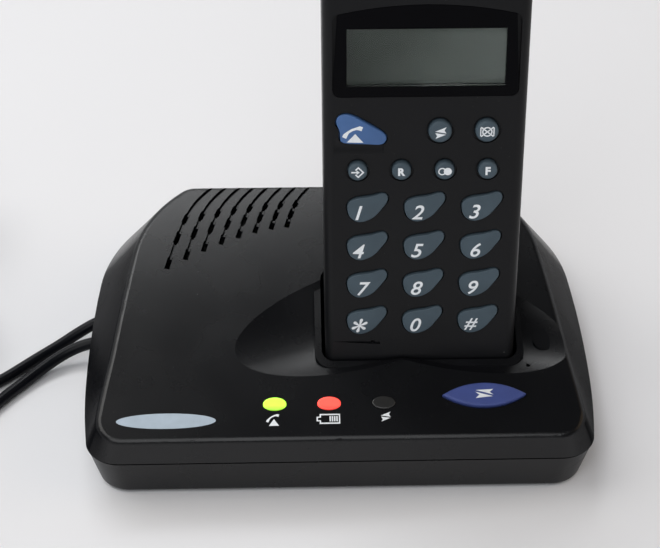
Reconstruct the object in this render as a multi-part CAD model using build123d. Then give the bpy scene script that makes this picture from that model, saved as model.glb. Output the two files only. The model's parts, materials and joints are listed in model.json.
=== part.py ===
from build123d import *
import math
import os

# Cordless telephone: a handset that stands in the pocket of its charging base,
# with the base's telephone line cord and its low-voltage power cord.
#
# Millimetres, +Z up, +X to the right of someone facing the keypad, +Y to the back.
# The base is drawn with y = 0 at the front of its seam. The handset is drawn upright
# in a frame of its own: x across, z up along it from the middle of the number keys,
# and y from its front face to its back. Both are moved to their places at the end.

os.makedirs("parts", exist_ok=True)

# ---------------------------------------------------------------- driving dimensions
BASE_DEPTH = 122.0
BASE_HALF = 68.1          # half width at the front
SEAM_Z = 12.9             # where the top shell meets the bottom shell
FOOT_H = 0.8
SHELL = 2.0               # wall of the base's shells
FRONT_TOP_Z = 19.8        # height of the deck's front edge
DECK_RISE = 0.384         # slope of the deck at its front edge
DECK_SAG = 0.000937       # how the slope eases towards the back
DECK_EDGE_R = 2.0         # rounding between the deck and the side walls
LOFT_TOP_Z = 50.0         # height to which the sloping side walls are drawn

# Outlines in plan, right-hand side: front corner, waist with the slope of the side there,
# shoulder and rear corner. The top one is where the walls would end if they ran past the deck.
SEAM_PLAN = [(BASE_HALF, 0.0), (71.5, 32.0, 0.035), (70.9, 78.0), (44.0, BASE_DEPTH)]
TOP_PLAN = [(60.0, 4.3), (51.8, 27.0, 0.06), (52.6, 52.0), (42.9, 76.6)]
FOOT_PLAN = [(65.2, 2.0), (68.5, 32.0, 0.035), (67.8, 77.0), (42.0, BASE_DEPTH - 2.5)]

LEAN = 10.75              # handset's lean to the back, degrees
HANDSET_X = 22.2
HANDSET_Y = 30.3
HANDSET_Z = 55.8
HS_BOTTOM = -45.0
HS_SHOULDER = 106.0
HS_TOP = 118.0
HS_HALF_LOW = 25.9
HS_HALF_HIGH = 26.6
HS_THICK = 25.0
HS_PARTING = 11.0         # depth of the joint between front and rear shells
HS_WALL = 1.8

KEY_PITCH_X = 15.07
KEY_PITCH_Z = 11.27
KEY_PROUD = 1.2
KEY_DOME_R = 24.0         # radius of the number keys' domed fronts
KEY_GAP = 0.35
ROUND_KEY_PROUD = 1.5
KEY_BACK = HS_WALL + 0.8
FLANGE_FRONT = HS_WALL + 0.35
FLANGE_BACK = HS_WALL + 0.95

POCKET_GAP = 0.7
POCKET_WALL = 1.8
POCKET_FLOOR_GAP = 0.5

CORD_D = 3.5
CORD_R = CORD_D / 2


# ---------------------------------------------------------------- helpers
def deck_z(y):
    """Height of the base's deck at depth y."""
    return FRONT_TOP_Z + DECK_RISE * y - DECK_SAG * y * y


def deck_angle(y):
    """Slope of the deck at depth y, in degrees."""
    return math.degrees(math.atan(DECK_RISE - 2 * DECK_SAG * y))


def on_deck(x, y, lift=0.0):
    """Frame on the deck's surface, with its z along the surface's normal."""
    return Pos(x, y, deck_z(y)) * Rot(deck_angle(y), 0, 0) * Pos(0, 0, lift)


def block(x0, x1, y0, y1, z0, z1):
    """Box from its two corners."""
    size = Box(x1 - x0, y1 - y0, z1 - z0)
    return Pos((x0 + x1) / 2, (y0 + y1) / 2, (z0 + z1) / 2) * size


def vertices_at_y(shape, y):
    return [v for v in shape.vertices() if abs(v.Y - y) < 0.01]


def plan_face(plan, corner_r, rear_r, inset):
    """Outline symmetrical about x = 0, with its corners rounded, drawn in by an inset."""
    front, waist, shoulder, rear = plan
    p_front = (front[0] - inset, front[1] + inset)
    p_waist = (waist[0] - inset, waist[1])
    p_shoulder = (shoulder[0] - inset, shoulder[1])
    p_rear = (rear[0] - inset * 0.6, rear[1] - inset)
    lean = waist[2]
    fore = TangentArc(p_waist, p_front, tangent=(-lean, -1))
    aft = TangentArc(p_waist, p_shoulder, tangent=(lean, 1))
    corner = TangentArc(p_shoulder, p_rear, tangent=aft % 1)
    sides = [fore, aft, corner]
    others = [edge.mirror(Plane.YZ) for edge in sides]
    front_line = Line((-p_front[0], p_front[1]), p_front)
    rear_line = Line(p_rear, (-p_rear[0], p_rear[1]))
    face = make_face([front_line, rear_line] + sides + others)
    face = fillet(vertices_at_y(face, p_front[1]), corner_r)
    return fillet(vertices_at_y(face, p_rear[1]), rear_r)


def seam_outline(inset=0.0):
    return plan_face(SEAM_PLAN, 9.5, 15.0, inset)


def top_outline(inset=0.0):
    return plan_face(TOP_PLAN, 3.5, 4.0, inset)


def foot_outline(inset=0.0):
    return plan_face(FOOT_PLAN, 9.0, 14.0, inset)


def shell_loft(inset=0.0):
    """Sloping side walls of the top shell, from the seam up past the deck."""
    low = Pos(0, 0, SEAM_Z) * seam_outline(inset)
    high = Pos(0, 0, LOFT_TOP_Z) * top_outline(inset)
    return loft([low, high], ruled=True)


def deck_solid(drop=0.0):
    """Everything below the deck's surface, less a drop."""
    y_front, y_mid, y_rear = -12.0, 41.0, 94.0
    crown = ThreePointArc(
        (y_front, deck_z(y_front) - drop),
        (y_mid, deck_z(y_mid) - drop),
        (y_rear, deck_z(y_rear) - drop),
    )
    bottom = Polyline(
        (y_rear, deck_z(y_rear) - drop),
        (y_rear + 60.0, deck_z(y_rear) - drop),
        (y_rear + 60.0, -20.0),
        (y_front, -20.0),
        (y_front, deck_z(y_front) - drop),
    )
    profile = Plane.YZ * make_face([crown, bottom])
    return extrude(profile, amount=90.0, both=True)


# ---------------------------------------------------------------- handset outline
def handset_face(inset=0.0):
    """Front view of the handset, with an arched top."""
    low = HS_HALF_LOW - inset
    high = HS_HALF_HIGH - inset
    bottom = HS_BOTTOM + inset
    shoulder = HS_SHOULDER - inset
    outline = make_face(
        [
            Line((-low, bottom), (low, bottom)),
            Line((low, bottom), (high, shoulder)),
            ThreePointArc((high, shoulder), (0, HS_TOP - inset), (-high, shoulder)),
            Line((-high, shoulder), (-low, bottom)),
        ]
    )
    outline = fillet(vertices_at_y(outline, bottom), 5.0 - inset)
    return fillet(vertices_at_y(outline, shoulder), 9.0 - inset)


def front_prism(face, y_from, y_to):
    """Extrudes a face drawn in front view from one depth to another."""
    return Pos(0, y_from, 0) * extrude(Plane.XZ * face, amount=-(y_to - y_from))


def handset_solid(inset=0.0, front_r=2.6, back_r=6.0):
    body = front_prism(handset_face(inset), inset, HS_THICK - inset)
    front_edges = [e for e in body.edges() if abs(e.center().Y - inset) < 0.01]
    body = fillet(front_edges, front_r - inset * 0.5)
    back_edges = [e for e in body.edges() if abs(e.center().Y - (HS_THICK - inset)) < 0.01]
    return fillet(back_edges, back_r - inset)


HANDSET_FRAME = Pos(HANDSET_X, HANDSET_Y, HANDSET_Z) * Rot(-LEAN, 0, 0)
TO_ROW = Pos(0, -BASE_DEPTH / 2, 0)
written = []


def write(name, shape, frame=None):
    """Writes one node, moved from its drawing frame to the row's frame."""
    placed = TO_ROW * shape if frame is None else TO_ROW * frame * shape
    solids = placed.solids()
    out = solids[0] if len(solids) == 1 else Compound(children=list(solids))
    out.label = name
    export_step(out, os.path.join("parts", name + ".step"))
    written.append(name)
    return placed


# ---------------------------------------------------------------- base: finger scoop
SCOOP_MID_X = 17.5
SCOOP_TIP_X = -28.0
SCOOP_TIP_Y = 25.0
SCOOP_TURN = 20.0         # how far each leaf swings up the deck towards the handset
SCOOP_HALF_LENGTH = 45.0
SCOOP_HALF_WIDTH = 17.0
SCOOP_BREAK = 27.0        # angle between deck and scoop at the edge, degrees


def scoop_spindle(grow):
    """Barrel lying along x from x = 0, whose cut through z = 0 is a leaf."""
    height = SCOOP_HALF_WIDTH / math.tan(math.radians(SCOOP_BREAK))
    end_r = height + grow
    middle_r = math.hypot(height, SCOOP_HALF_WIDTH) + grow
    length = 2 * SCOOP_HALF_LENGTH
    rim = ThreePointArc((0, end_r), (SCOOP_HALF_LENGTH, middle_r), (length, end_r))
    ends = Polyline((length, end_r), (length, 0), (0, 0), (0, end_r))
    return Pos(0, 0, height) * revolve(make_face([rim, ends]), Axis.X, 360.0)


def scoop_leaves(grow=0.0):
    """The left and the right half of the scoop, which meet behind the handset."""
    tilt = Rot(deck_angle(35.0), 0, 0)
    tip_z = deck_z(SCOOP_TIP_Y)
    right_tip_x = 2 * SCOOP_MID_X - SCOOP_TIP_X
    barrel = scoop_spindle(grow)
    left = Pos(SCOOP_TIP_X, SCOOP_TIP_Y, tip_z) * tilt * Rot(0, 0, SCOOP_TURN) * barrel
    turned = Rot(0, 0, -SCOOP_TURN) * Pos(-2 * SCOOP_HALF_LENGTH, 0, 0) * barrel
    right = Pos(right_tip_x, SCOOP_TIP_Y, tip_z) * tilt * turned
    return [
        left & block(SCOOP_MID_X - 90, SCOOP_MID_X, -60, 150, 0, 150),
        right & block(SCOOP_MID_X, SCOOP_MID_X + 90, -60, 150, 0, 150),
    ]


def without(shape, tools):
    for tool in tools:
        shape = shape - tool
    return shape


# ---------------------------------------------------------------- base: handset pocket
def pocket(grow, floor_drop):
    """Rounded box round the handset's lower end, in the handset's frame."""
    half = HS_HALF_LOW + 0.4 + grow
    low = HS_BOTTOM - floor_drop
    high = 30.0
    solid = block(-half, half, -grow, HS_THICK + grow, low, high)
    upright = solid.edges().filter_by(Axis.Z)
    return HANDSET_FRAME * fillet(upright, 3.0 + grow * 0.5)


# ---------------------------------------------------------------- base: vents
VENT_COUNT = 8
VENT_PITCH = 4.1
VENT_FIRST_X = -35.9
VENT_TOP_Y = 82.6         # where the grooves run over the back edge of the deck
VENT_LONGEST = 29.1
VENT_SHORTEST = 15.1
VENT_SWEEP = 5.8          # how far a groove swings to the left just below its top
VENT_DRIFT = 0.23         # slope of its straighter lower part
GROOVE_WIDTH = 0.95
GROOVE_DEPTH = 0.8
SLOT_WIDTH = 1.5


def vent_length(i):
    """Grooves shorten from the outer one to the inner one, quickly at first."""
    share = i / (VENT_COUNT - 1)
    return VENT_SHORTEST + (VENT_LONGEST - VENT_SHORTEST) * (1 - share) ** 1.6


def vent_point(i, back):
    """Point of groove i, at a distance back (towards the front) from its top end."""
    swing = VENT_SWEEP * (1 - math.exp(-back / VENT_SWEEP)) + VENT_DRIFT * back
    share = 1 - 0.2 * i / (VENT_COUNT - 1)
    return (VENT_FIRST_X + VENT_PITCH * i - share * swing, VENT_TOP_Y - back)


def vent_strip(i, start, end, width):
    """Upright curved strip along groove i between two distances from its top end."""
    steps = 6
    path = Spline([vent_point(i, start + (end - start) * step / steps) for step in range(steps + 1)])
    return Pos(0, 0, 25.0) * extrude(trace(path, width), amount=30.0)


def vent_slots(i):
    """Three through slots in groove i: near the top, in the middle and at its low end."""
    length = vent_length(i)
    slot = 1.6 + 0.05 * length
    middle = length * 0.55
    spans = [
        (length * 0.34, length * 0.34 + slot),
        (middle, middle + slot * 1.35),
        (length - slot * 1.3, length),
    ]
    return [vent_strip(i, a, b, SLOT_WIDTH) for a, b in spans]


# ---------------------------------------------------------------- base: controls
LED_XS = {"led_green": -17.8, "led_red": -3.1, "led_link": 11.7}
LED_Y = 11.0
LED_LENGTH = 6.3
LED_WIDTH = 3.9
PAGE_X = 39.0
PAGE_Y = 12.6
PAGE_LENGTH = 22.8
PAGE_WIDTH = 7.2
PAGE_PROUD = 1.1
MIC_HOLE = (51.8, 21.7)
MIC_HOLE_R = 0.6
MIC_CAPSULE_R = 2.1
MIC_CAPSULE_LENGTH = 2.9
MIC_CAPSULE_DROP = SHELL + 4.9


def lens_face(length, width, grow=0.0):
    """Pointed oval from two arcs."""
    half = length / 2 + grow
    rise = width / 2 + grow
    upper = ThreePointArc((-half, 0), (0, rise), (half, 0))
    lower = ThreePointArc((half, 0), (0, -rise), (-half, 0))
    return make_face([upper, lower])


def led_prism(grow, low, high):
    face = Ellipse(LED_LENGTH / 2 + grow, LED_WIDTH / 2 + grow)
    return Pos(0, 0, low) * extrude(face, amount=high - low)


def led_window(name):
    """Light window: a domed oval with a collar behind the deck."""
    cap = led_prism(0.0, -SHELL, 0.35)
    rim = [e for e in cap.edges() if abs(e.center().Z - 0.35) < 0.01]
    cap = fillet(rim, 0.3)
    collar = led_prism(0.6, -SHELL - 1.6, -SHELL - 0.7)
    stem = led_prism(-0.4, -SHELL - 1.6, -SHELL)
    return on_deck(LED_XS[name], LED_Y) * (cap + stem + collar)


def page_button():
    cap = extrude(lens_face(PAGE_LENGTH, PAGE_WIDTH), amount=PAGE_PROUD + SHELL)
    cap = Pos(0, 0, -SHELL) * cap
    rim = [e for e in cap.edges() if abs(e.center().Z - PAGE_PROUD) < 0.01]
    cap = fillet(rim, 0.6)
    flange = Pos(0, 0, -SHELL - 1.3) * extrude(lens_face(PAGE_LENGTH, PAGE_WIDTH, 0.8), amount=0.8)
    stem = Pos(0, 0, -SHELL - 1.3) * extrude(Circle(2.2), amount=2.0)
    return on_deck(PAGE_X, PAGE_Y) * (cap + flange + stem)


# ---------------------------------------------------------------- base: cable bay
BAY_Y0 = 51.5
BAY_Y1 = 77.5
BAY_X = -52.0             # inner wall of the bay, where the sockets face out
BAY_TOP_Z = 10.8
LINE_JACK_Y = 59.0
POWER_JACK_Y = 70.6
JACK_Z = 6.7              # middle of both sockets
JACK_LOW_Z = FOOT_H + SHELL + 0.1
JACK_HIGH_Z = 11.6
PLUG_W = 11.4
PLUG_H = 6.4
BARREL_R = 2.75


def rounded_outer():
    """Outer form of the top shell with its deck edges rounded."""
    outer = (shell_loft() & deck_solid()).solids()[0]
    decks = [f for f in outer.faces() if f.center().Z > 25.0 and f.normal_at(f.center()).Z > 0.8]
    return fillet(decks[0].edges(), DECK_EDGE_R)


def base_top_shell():
    """Top shell, hollow from below, with the walls of the handset pocket."""
    outer = without(rounded_outer(), scoop_leaves())
    pocket_block = pocket(POCKET_GAP + POCKET_WALL, POCKET_FLOOR_GAP + POCKET_WALL)
    hollow = shell_loft(SHELL) & deck_solid(SHELL + 0.1)
    hollow = without(hollow, scoop_leaves(SHELL)) - pocket_block
    hollow = hollow + Pos(0, 0, SEAM_Z - 1.0) * extrude(seam_outline(SHELL), amount=1.0)
    inside = deck_solid(SHELL / 2) & block(-60, 60, 5, 80, 0, 60)
    pocket_walls = without(pocket_block & inside, scoop_leaves(SHELL / 4))
    shell = (outer - hollow) + pocket_walls - pocket(POCKET_GAP, POCKET_FLOOR_GAP)
    for name, x in LED_XS.items():
        shell = shell - on_deck(x, LED_Y) * led_prism(0.12, -6.0, 3.0)
    page_hole = Pos(0, 0, -8.0) * extrude(lens_face(PAGE_LENGTH, PAGE_WIDTH, 0.35), amount=12.0)
    shell = shell - on_deck(PAGE_X, PAGE_Y) * page_hole
    shell = shell - on_deck(*MIC_HOLE) * Pos(0, 0, -8.0) * extrude(Circle(MIC_HOLE_R), amount=12.0)
    skin = deck_solid() - deck_solid(GROOVE_DEPTH)
    for i in range(VENT_COUNT):
        shell = shell - (vent_strip(i, -3.0, vent_length(i), GROOVE_WIDTH) & skin)
        for slot in vent_slots(i):
            shell = shell - slot
    for x in CONTACT_XS:
        shell = shell - HANDSET_FRAME * contact_slot(x)
    for x, y in SCREW_PLACES:
        shell = shell + (screw_boss(x, y) & deck_solid(SHELL / 2) & shell_loft(SHELL / 2))
        shell = shell - Pos(x, y, 0) * extrude(Circle(SCREW_R + 0.05), amount=SEAM_Z + 7.0)
    return shell


# ---------------------------------------------------------------- base: lower parts
SCREW_PLACES = [(-56.0, 24.0), (57.0, 30.0), (-44.0, 100.0), (44.0, 100.0)]
SCREW_R = 1.3
FOOT_PLACES = [(-52.0, 12.0), (52.0, 12.0), (-36.0, 110.0), (36.0, 110.0)]
BOARD_Z = 6.2
BOARD_T = 1.6
CONTACT_XS = (-13.0, 13.0)


def screw_boss(x, y):
    return Pos(x, y, SEAM_Z - 0.1) * extrude(Circle(3.2), amount=30.0)


def contact_slot(x):
    """Opening in the pocket's rear wall for a charging spring, in the handset's frame."""
    y0 = HS_THICK + POCKET_GAP - 0.3
    return block(x - 2.0, x + 2.0, y0, y0 + 3.0, HS_BOTTOM + 4.0, HS_BOTTOM + 14.0)


def charge_springs():
    """Two bent strips that reach through the pocket's rear wall to the handset."""
    springs = []
    wall_y = HS_THICK + POCKET_GAP + POCKET_WALL
    for x in CONTACT_XS:
        path = Polyline(
            (wall_y + 0.5, HS_BOTTOM + 2.0),
            (wall_y + 0.5, HS_BOTTOM + 5.5),
            (HS_THICK + 0.35, HS_BOTTOM + 9.0),
            (wall_y + 0.5, HS_BOTTOM + 12.5),
        )
        strip = extrude(Plane.YZ * trace(path, 0.4), amount=1.5, both=True)
        springs.append(Pos(x, 0, 0) * strip)
    return springs[0] + springs[1]


def base_bottom_shell():
    """Tray with a rim under the seam, a bay for the plugs and pillars for the screws."""
    low = Pos(0, 0, FOOT_H) * foot_outline()
    high = Pos(0, 0, SEAM_Z) * seam_outline(0.15)
    outer = loft([low, high], ruled=True).solids()[0]
    base_edges = [e for e in outer.edges() if e.center().Z < FOOT_H + 0.01]
    outer = fillet(base_edges, 1.0)
    rim_ring = extrude(seam_outline(-2.0), amount=0.6) - extrude(seam_outline(0.75), amount=0.6)
    outer = outer - Pos(0, 0, SEAM_Z - 0.6) * rim_ring
    low_in = Pos(0, 0, FOOT_H + SHELL) * foot_outline(SHELL + 0.4)
    high_in = Pos(0, 0, SEAM_Z) * seam_outline(SHELL + 0.6)
    tray = outer - loft([low_in, high_in], ruled=True)
    bay_walls = block(-90, BAY_X + SHELL, BAY_Y0 - SHELL, BAY_Y1 + SHELL, 0, SEAM_Z - 0.4) & outer
    tray = tray + bay_walls
    tray = tray - block(-90, BAY_X, BAY_Y0, BAY_Y1, -1, BAY_TOP_Z)
    w = PLUG_W / 2 + 0.3
    h = PLUG_H / 2 + 0.3
    tray = tray - block(BAY_X - 1, BAY_X + 3, LINE_JACK_Y - w, LINE_JACK_Y + w, JACK_Z - h, JACK_Z + h)
    tray = tray - Pos(BAY_X + 3, POWER_JACK_Y, JACK_Z) * Rot(0, -90, 0) * extrude(Circle(3.4), amount=5)
    for x, y in SCREW_PLACES:
        pillar = Pos(x, y, FOOT_H + 0.5) * extrude(Circle(3.6), amount=SEAM_Z - FOOT_H - 0.7)
        tray = tray + pillar
        tray = tray - Pos(x, y, -1) * extrude(Circle(SCREW_R + 0.3), amount=20)
        tray = tray - Pos(x, y, -1) * extrude(Circle(2.9), amount=4.4)
    for x, y in FOOT_PLACES:
        tray = tray - Pos(x, y, 0) * extrude(Circle(5.1), amount=FOOT_H + 0.5)
    label = block(-20, 20, 50, 75, 0, FOOT_H + 0.3)
    return tray - label


def screw(length, head_r, shank_r):
    """Pan-head screw, head down, standing on its head at z = 0."""
    head = extrude(Circle(head_r), amount=1.6)
    head = fillet([e for e in head.edges() if e.center().Z < 0.01], 0.5)
    shank = extrude(Circle(shank_r), amount=length)
    recess = block(-1.2, 1.2, -0.25, 0.25, -1, 0.8) + block(-0.25, 0.25, -1.2, 1.2, -1, 0.8)
    return head + shank - recess


def base_circuit_board():
    """Board along the front and up the left side, with its larger components."""
    board = block(-55, 60, 6, 16.5, BOARD_Z, BOARD_Z + BOARD_T)
    board = board + block(-48, -10, 6, 52, BOARD_Z, BOARD_Z + BOARD_T)
    board = board + block(-34, -10, 50, 92, BOARD_Z, BOARD_Z + BOARD_T)
    top = BOARD_Z + BOARD_T
    board = board + block(-40, -28, 24, 36, top, top + 1.8)
    board = board + block(-24, -14, 24, 34, top, top + 1.6)
    board = board + block(-30, -18, 76, 88, top, top + 7.0)
    board = board + Pos(-22, 62, top) * extrude(Circle(4), amount=11)
    board = board + Pos(-38, 44, top) * extrude(Circle(2.5), amount=6)
    for name, x in LED_XS.items():
        board = board + Pos(x, LED_Y, top) * extrude(Circle(1.5), amount=3.5)
    return board


def ringer_speaker():
    """Round speaker held under the vents."""
    basket = extrude(Circle(13.5), amount=3.0) + Pos(0, 0, -4.0) * extrude(Circle(7.0), amount=4.0)
    cone = Pos(0, 0, 1.2) * Cone(9.5, 12.3, 2.0, align=(Align.CENTER, Align.CENTER, Align.MIN))
    return Pos(-30.5, 71.0, 30.0) * Rot(deck_angle(72.0), 0, 0) * (basket - cone)


def page_switch():
    body = block(-3, 3, -3, 3, 0, 3.4)
    plunger = Pos(0, 0, 3.4) * extrude(Circle(1.6), amount=0.8)
    return Pos(PAGE_X, PAGE_Y - 1.2, BOARD_Z + BOARD_T) * (body + plunger)


def base_microphone():
    """Capsule behind the pin hole, lowered to clear the underside of the finger scoop."""
    capsule = Pos(0, 0, -MIC_CAPSULE_DROP) * extrude(Circle(MIC_CAPSULE_R), amount=MIC_CAPSULE_LENGTH)
    return on_deck(MIC_HOLE[0] + 1.3, MIC_HOLE[1] - 1.1) * capsule


def base_antenna():
    """Internal wire antenna: a rod bent round the back of the base."""
    path = FilletPolyline((-36, 96, 16), (-30, 104, 16), (30, 104, 16), (46, 88, 16), radius=4.0)
    return sweep(Plane(path @ 0, z_dir=path % 0) * Circle(0.8), path)


def line_jack():
    """Socket for the modular plug, opening to the left."""
    y0 = LINE_JACK_Y - 7.0
    y1 = LINE_JACK_Y + 7.0
    body = block(BAY_X + SHELL + 0.1, BAY_X + 16, y0, y1, JACK_LOW_Z, JACK_HIGH_Z)
    w = PLUG_W / 2 + 0.2
    h = PLUG_H / 2 + 0.2
    return body - block(BAY_X, BAY_X + 12, LINE_JACK_Y - w, LINE_JACK_Y + w, JACK_Z - h, JACK_Z + h)


def power_jack():
    """Round socket with a centre pin, opening to the left."""
    y0 = POWER_JACK_Y - 4.3
    y1 = POWER_JACK_Y + 4.9
    body = block(BAY_X + SHELL + 0.1, BAY_X + 14, y0, y1, JACK_LOW_Z, JACK_HIGH_Z)
    along = Pos(BAY_X, POWER_JACK_Y, JACK_Z) * Rot(0, 90, 0)
    body = body - along * extrude(Circle(BARREL_R + 0.15), amount=11.5)
    return body + along * Pos(0, 0, 3.5) * extrude(Circle(0.9), amount=9.0)


# ---------------------------------------------------------------- cords
# Each cord leaves its plug in the bay, comes down to the floor beside the base, and its
# unused length is wound in a coil to the left. Route points are the cord's centre line.
LINE_PLUG_END_X = -62.0
POWER_PLUG_END_X = -60.0
FLOOR_Z = CORD_R
LINE_ROUTE = [
    (LINE_PLUG_END_X, LINE_JACK_Y, JACK_Z),
    (-67.8, LINE_JACK_Y, JACK_Z),
    (-74.1, 58.9, 5.8),
    (-80.1, 57.0, 4.2),
    (-86.0, 52.6, 2.7),
    (-91.9, 46.2, 1.8),
    (-97.9, 38.6, FLOOR_Z),
    (-103.2, 30.2, FLOOR_Z),
    (-107.5, 20.8, FLOOR_Z),
    (-110.5, 10.5, FLOOR_Z),
    (-112.43, -0.33, FLOOR_Z),
]
POWER_ROUTE = [
    (POWER_PLUG_END_X, POWER_JACK_Y, JACK_Z),
    (-65.8, POWER_JACK_Y, JACK_Z),
    (-71.8, 69.5, 5.5),
    (-77.6, 66.6, 3.6),
    (-83.0, 62.6, 2.1),
    (-88.2, 58.0, FLOOR_Z),
    (-93.2, 52.8, FLOOR_Z),
    (-98.6, 47.2, FLOOR_Z),
    (-105.2, 43.0, FLOOR_Z),
    (-112.8, 40.5, FLOOR_Z),
    (-120.8, 38.8, FLOOR_Z),
    (-128.67, 37.43, FLOOR_Z),
]
LINE_COIL = (-137.0, 4.0)
POWER_COIL = (-133.0, 62.0)


def arc_radii(points):
    """Largest smooth arc at each corner: 0.45 of the shorter run over tan(half the turn)."""
    radii = []
    for a, b, c in zip(points, points[1:], points[2:]):
        first = Vector(*b) - Vector(*a)
        second = Vector(*c) - Vector(*b)
        turn = math.radians(first.get_angle(second))
        radii.append(0.45 * min(first.length, second.length) / math.tan(turn / 2))
    return radii


def cord_tube(points):
    radii = arc_radii(points)
    path = FilletPolyline(*points, radius=radii)
    tube = sweep(Plane(path @ 0, z_dir=path % 0) * Circle(CORD_R), path)
    section = math.pi * CORD_R ** 2
    print("arc radii", [round(r, 1) for r in radii])
    print("tube volume over section times length", round(tube.volume / (section * path.length), 4))
    print("tube length", round(path.length, 1))
    return tube


COIL_MEAN_R = 19.5
COIL_BAND = 14.4
COIL_H = 13.6


def coil_ring(x, y):
    """Outer shape of a flat round coil lying on the floor."""
    outer = extrude(Circle(COIL_MEAN_R + COIL_BAND / 2), amount=COIL_H)
    hole = extrude(Circle(COIL_MEAN_R - COIL_BAND / 2), amount=COIL_H)
    ring = outer - hole
    return Pos(x, y, 0) * fillet([e for e in ring.edges() if e.length > 60], 3.0)


def modular_plug(x, y, z):
    """Clear-nosed plug pointing to +x, with its latch on top and a boot behind."""
    body = block(-16.0, 0.0, -PLUG_W / 2, PLUG_W / 2, -PLUG_H / 2, PLUG_H / 2)
    body = body - block(-14.0, -9.0, -PLUG_W / 2 + 1.5, PLUG_W / 2 - 1.5, PLUG_H / 2 - 0.9, 9)
    for i in range(6):
        offset = (i - 2.5) * 1.25
        body = body - block(-4.0, 1.0, offset - 0.25, offset + 0.25, -PLUG_H, -PLUG_H / 2 + 0.8)
    boot = Rot(0, -90, 0) * extrude(RectangleRounded(4.6, 7.0, 1.5), amount=5.5, taper=8)
    return Pos(x, y, z) * (body + Pos(-16.0, 0, 0) * boot)


def line_cord_base_plug():
    return modular_plug(LINE_PLUG_END_X + 21.5, LINE_JACK_Y, JACK_Z)


def line_cord_wall_plug():
    """Lies on its coil, along the turns."""
    x = LINE_COIL[0] - COIL_MEAN_R
    return Pos(x, LINE_COIL[1], COIL_H + PLUG_H / 2) * Rot(0, 0, 90) * modular_plug(8.0, 0, 0)


def power_cord_base_plug():
    """Round plug: sleeve in the socket, moulded grip and a tapered relief."""
    along = Pos(POWER_PLUG_END_X, POWER_JACK_Y, JACK_Z) * Rot(0, 90, 0)
    relief = Cone(CORD_R + 0.5, 2.7, 3.6, align=(Align.CENTER, Align.CENTER, Align.MIN))
    grip = Pos(0, 0, 3.6) * extrude(Circle(3.9), amount=4.4)
    sleeve = Pos(0, 0, 8.0) * extrude(Circle(BARREL_R), amount=9.5)
    bore = Pos(0, 0, 9.5) * extrude(Circle(1.15), amount=9.0)
    return along * (relief + grip + sleeve - bore)


ADAPTOR_X = -150.0
ADAPTOR_Y0 = 100.0
ADAPTOR_SIZE = (46.0, 34.0, 28.0)
RELIEF_X = -157.95
RELIEF_Z = 10.5
RELIEF_LENGTH = 30.0
PIN_SPACING = 19.0


def adaptor_strain_relief():
    """Ribbed taper from the adaptor to the coil."""
    along = Pos(RELIEF_X, ADAPTOR_Y0, RELIEF_Z) * Rot(90, 0, 0)
    relief = Cone(3.6, CORD_R + 0.4, RELIEF_LENGTH, align=(Align.CENTER, Align.CENTER, Align.MIN))
    for i in range(5):
        ring = extrude(Circle(6) - Circle(2.6 - 0.15 * i), amount=1.2)
        relief = relief - Pos(0, 0, 3.0 + 3.0 * i) * ring
    return along * relief - coil_ring(*POWER_COIL)


def wall_adaptor_body():
    w, d, h = ADAPTOR_SIZE
    body = block(ADAPTOR_X - w / 2, ADAPTOR_X + w / 2, ADAPTOR_Y0, ADAPTOR_Y0 + d, 0, h)
    body = fillet(body.edges().filter_by(Axis.Z), 5.0)
    body = fillet([e for e in body.edges() if e.center().Z < 0.01], 1.5)
    rim = [e for e in body.edges() if e.center().Z > h - 0.01]
    body = fillet(rim, 2.0)
    for x in pin_xs():
        body = body - Pos(x, ADAPTOR_Y0 + d / 2, h - 6.0) * extrude(Circle(2.0), amount=8)
    return body


def pin_xs():
    return (ADAPTOR_X - PIN_SPACING / 2, ADAPTOR_X + PIN_SPACING / 2)


def wall_adaptor_pins():
    pins = []
    for x in pin_xs():
        pin = extrude(Circle(1.95), amount=24.5)
        pin = fillet([e for e in pin.edges() if e.center().Z > 24.4], 1.2)
        pins.append(Pos(x, ADAPTOR_Y0 + ADAPTOR_SIZE[1] / 2, ADAPTOR_SIZE[2] - 5.9) * pin)
    return pins[0] + pins[1]


# ---------------------------------------------------------------- handset
WINDOW_HALF = 23.8
WINDOW_LOW = 48.3
WINDOW_SIDE = 70.0
WINDOW_TOP = 72.8
WINDOW_T = 1.2
LCD_HALF = 20.2
LCD_LOW = 51.2
LCD_HIGH = 66.5

LEAF_POINTS = [
    (-4.9, -0.1), (-4.2, 2.4), (-2.0, 3.35), (2.0, 4.0), (5.3, 4.15), (5.75, 3.0),
    (4.4, 0.5), (2.5, -1.7), (-0.4, -3.35), (-2.3, -3.5), (-4.2, -2.2),
]
TALK_X = -16.4
TALK_Z = 39.2
TALK_POINTS = [
    (-6.0, 0.9), (-5.6, 4.1), (-4.4, 4.5), (0.0, 3.0), (4.4, 0.3),
    (6.5, -2.2), (6.0, -3.5), (3.0, -3.8), (-2.0, -3.5), (-5.2, -3.0),
]
LARGE_KEYS = {"flash_key": 3.9, "mute_key": 16.0}
LARGE_KEY_Z = 39.0
LARGE_KEY_R = 3.0
SMALL_KEYS = {"memory_key": -17.3, "recall_key": -5.9, "redial_key": 5.4, "function_key": 16.6}
SMALL_KEY_Z = 28.0
SMALL_KEY_R = 2.5
DIGITS = [["1", "2", "3"], ["4", "5", "6"], ["7", "8", "9"], ["star", "0", "hash"]]

MAT_FRONT = 4.6
MAT_T = 1.2
HS_BOARD_FRONT = 6.0
HS_BOARD_T = 1.2
COVER_LOW = 4.0
COVER_HIGH = 64.0
COVER_HALF = 19.0
COVER_T = 1.6
BAY_WALL = 1.5            # wall of the battery bay


def key_places():
    """Name and middle of each number key."""
    places = {}
    for row, names in enumerate(DIGITS):
        for column, name in enumerate(names):
            places["key_" + name] = ((column - 1) * KEY_PITCH_X, (1.5 - row) * KEY_PITCH_Z)
    return places


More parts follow.
